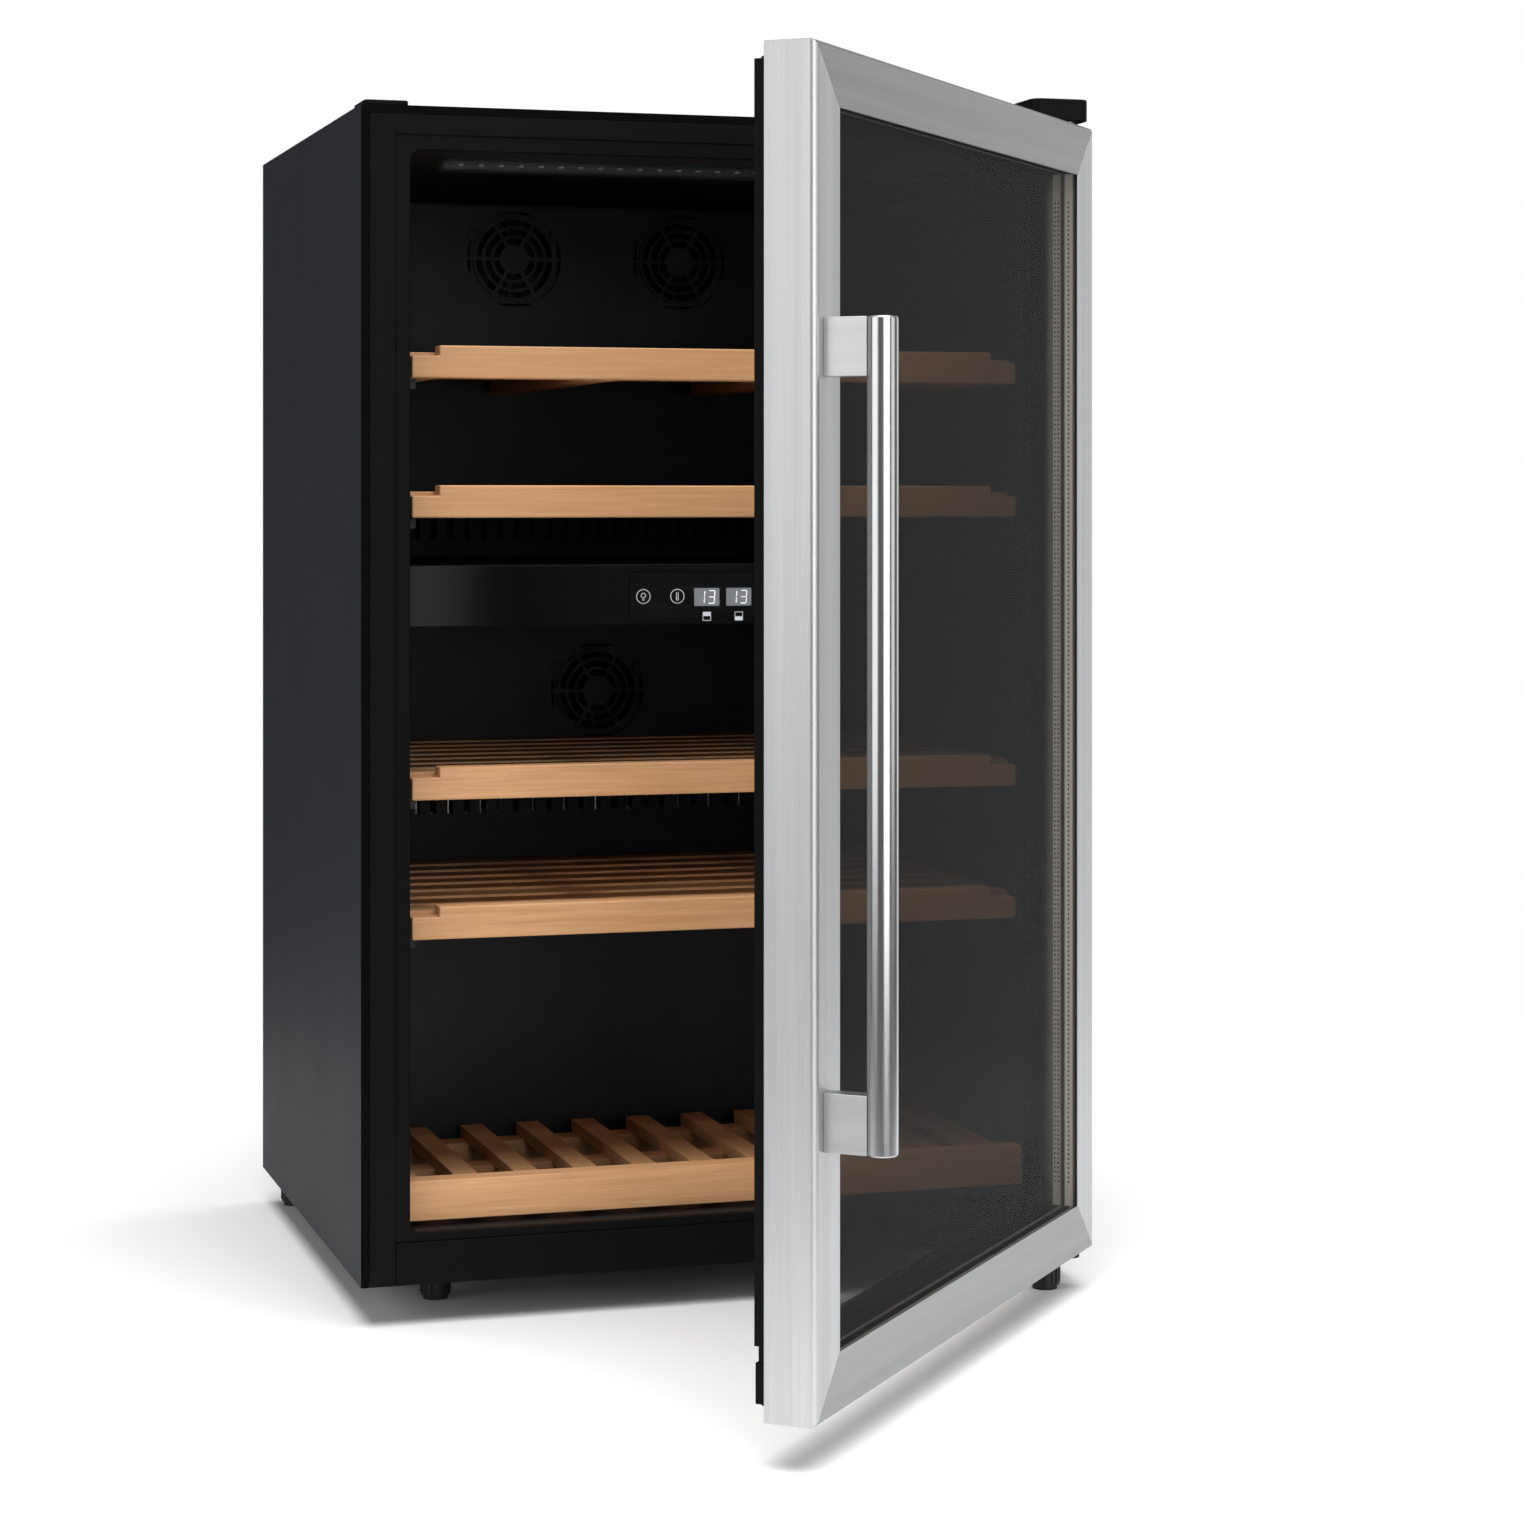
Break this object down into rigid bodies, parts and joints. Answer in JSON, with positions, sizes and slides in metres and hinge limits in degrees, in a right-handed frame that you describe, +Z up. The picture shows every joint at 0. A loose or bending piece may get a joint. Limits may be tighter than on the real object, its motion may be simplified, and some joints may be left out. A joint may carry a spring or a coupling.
{
  "type": "wine cooler",
  "caption": "Free-standing dual-zone wine cooler with a hinged triple-glazed steel-framed door, sliding beech shelves, duct fans and a compressor cooling circuit.",
  "frame": {"origin": "on the floor, under the middle of the cabinet body's footprint", "axes": "+Z up, the door faces -Y, +X towards the door's hinge side"},
  "size_m": [0.545, 0.9239, 0.8807],
  "materials": {
    "cabinet_paint": "satin powder coat",
    "back_steel": "matt",
    "frame_plastic": "fine satin",
    "liner_plastic": "vacuum-formed satin",
    "foam": "rigid polyurethane foam",
    "gloss_panel": "gloss",
    "circuit_board": "solder mask",
    "clear_lens": "clear",
    "duct_plastic": "satin",
    "fan_plastic": "matt",
    "fin_aluminium": "mill finish",
    "compressor_paint": "gloss black",
    "rubber_parts": "matt",
    "copper": "drawn",
    "drain_plastic": "moulded",
    "hinge_steel": "satin black",
    "bright_steel": "plated",
    "foot_plastic": "ribbed",
    "brushed_door": "brushed along each bar",
    "satin_handle": "satin",
    "smoked_glass": "smoked, polished",
    "spacer_metal": "perforated",
    "beech": "sanded and oiled"
  },
  "bodies": {
    "cabinet": {"side_panel_left": "cabinet_paint", "side_panel_right": "cabinet_paint", "top_panel": "cabinet_paint", "back_panel": "back_steel", "base_plate": "back_steel", "kick_panel": "frame_plastic", "front_frame": "frame_plastic", "liner": "liner_plastic", "insulation_foam": "foam", "divider": "liner_plastic", "control_panel": "gloss_panel", "touch_window": "gloss_panel", "control_board": "circuit_board", "light_lens": "clear_lens", "duct_cover_upper": "duct_plastic", "duct_cover_lower": "duct_plastic", "fan_frames": "fan_plastic", "evaporators": "fin_aluminium", "compressor": "compressor_paint", "compressor_grommets": "rubber_parts", "condenser": "fin_aluminium", "condenser_fan_frame": "fan_plastic", "filter_drier": "copper", "drain_tube": "drain_plastic", "drain_pan": "drain_plastic", "bay_grille": "back_steel", "power_inlet": "fan_plastic", "hinge_bracket_top": "hinge_steel", "hinge_bracket_bottom": "hinge_steel", "hinge_pins": "bright_steel", "hinge_cap": "frame_plastic", "blank_cap": "frame_plastic", "cabinet_screws": "bright_steel", "bottom_rack": "beech"},
    "door": {"door_stile_free": "brushed_door", "door_stile_hinge": "brushed_door", "door_rail_top": "brushed_door", "door_rail_bottom": "brushed_door", "door_inner_frame": "frame_plastic", "door_gasket": "rubber_parts", "glass_panes": "smoked_glass", "glass_spacers": "spacer_metal", "handle_bar": "satin_handle", "handle_brackets": "satin_handle"},
    "shelf_1": {"shelf_1_fascia": "beech", "shelf_1_deck": "beech"},
    "shelf_2": {"shelf_2_fascia": "beech", "shelf_2_deck": "beech"},
    "shelf_3": {"shelf_3_fascia": "beech", "shelf_3_deck": "beech"},
    "shelf_4": {"shelf_4_fascia": "beech", "shelf_4_deck": "beech"},
    "fan_rotor_left": {"fan_rotor_left": "fan_plastic"},
    "fan_rotor_right": {"fan_rotor_right": "fan_plastic"},
    "fan_rotor_lower": {"fan_rotor_lower": "fan_plastic"},
    "condenser_fan_rotor": {"condenser_fan_rotor": "fan_plastic"},
    "foot_front_left": {"foot_front_left": "foot_plastic"},
    "foot_front_right": {"foot_front_right": "foot_plastic"},
    "foot_rear_left": {"foot_rear_left": "foot_plastic"},
    "foot_rear_right": {"foot_rear_right": "foot_plastic"}
  },
  "joints": [
    {"name": "door_hinge", "type": "hinge", "parent": "cabinet", "child": "door", "pos_m": [0.2505, -0.2625, 0.0285], "axis": [0, 0, 1], "range_deg": [-50, 65]},
    {"name": "shelf_1_slide", "type": "slide", "parent": "cabinet", "child": "shelf_1", "axis": [0, -1, 0], "range_m": [0, 0.02]},
    {"name": "shelf_2_slide", "type": "slide", "parent": "cabinet", "child": "shelf_2", "axis": [0, -1, 0], "range_m": [0, 0.02]},
    {"name": "shelf_3_slide", "type": "slide", "parent": "cabinet", "child": "shelf_3", "axis": [0, -1, 0], "range_m": [0, 0.02]},
    {"name": "shelf_4_slide", "type": "slide", "parent": "cabinet", "child": "shelf_4", "axis": [0, -1, 0], "range_m": [0, 0.02]},
    {"name": "evaporator_fan_left_spin", "type": "hinge", "parent": "cabinet", "child": "fan_rotor_left", "pos_m": [-0.0715, 0.1792, 0.786], "axis": [0, 1, 0], "continuous": true},
    {"name": "evaporator_fan_right_spin", "type": "hinge", "parent": "cabinet", "child": "fan_rotor_right", "pos_m": [0.0715, 0.1792, 0.786], "axis": [0, 1, 0], "continuous": true},
    {"name": "evaporator_fan_lower_spin", "type": "hinge", "parent": "cabinet", "child": "fan_rotor_lower", "pos_m": [0, 0.1792, 0.425], "axis": [0, 1, 0], "continuous": true},
    {"name": "condenser_fan_spin", "type": "hinge", "parent": "cabinet", "child": "condenser_fan_rotor", "pos_m": [0.07, 0.1575, 0.1175], "axis": [1, 0, 0], "continuous": true},
    {"name": "foot_front_left_screw", "type": "slide", "parent": "cabinet", "child": "foot_front_left", "axis": [0, 0, -1], "range_m": [0, 0.01]},
    {"name": "foot_front_right_screw", "type": "slide", "parent": "cabinet", "child": "foot_front_right", "axis": [0, 0, -1], "range_m": [0, 0.01]},
    {"name": "foot_rear_left_screw", "type": "slide", "parent": "cabinet", "child": "foot_rear_left", "axis": [0, 0, -1], "range_m": [0, 0.01]},
    {"name": "foot_rear_right_screw", "type": "slide", "parent": "cabinet", "child": "foot_rear_right", "axis": [0, 0, -1], "range_m": [0, 0.01]}
  ]
}
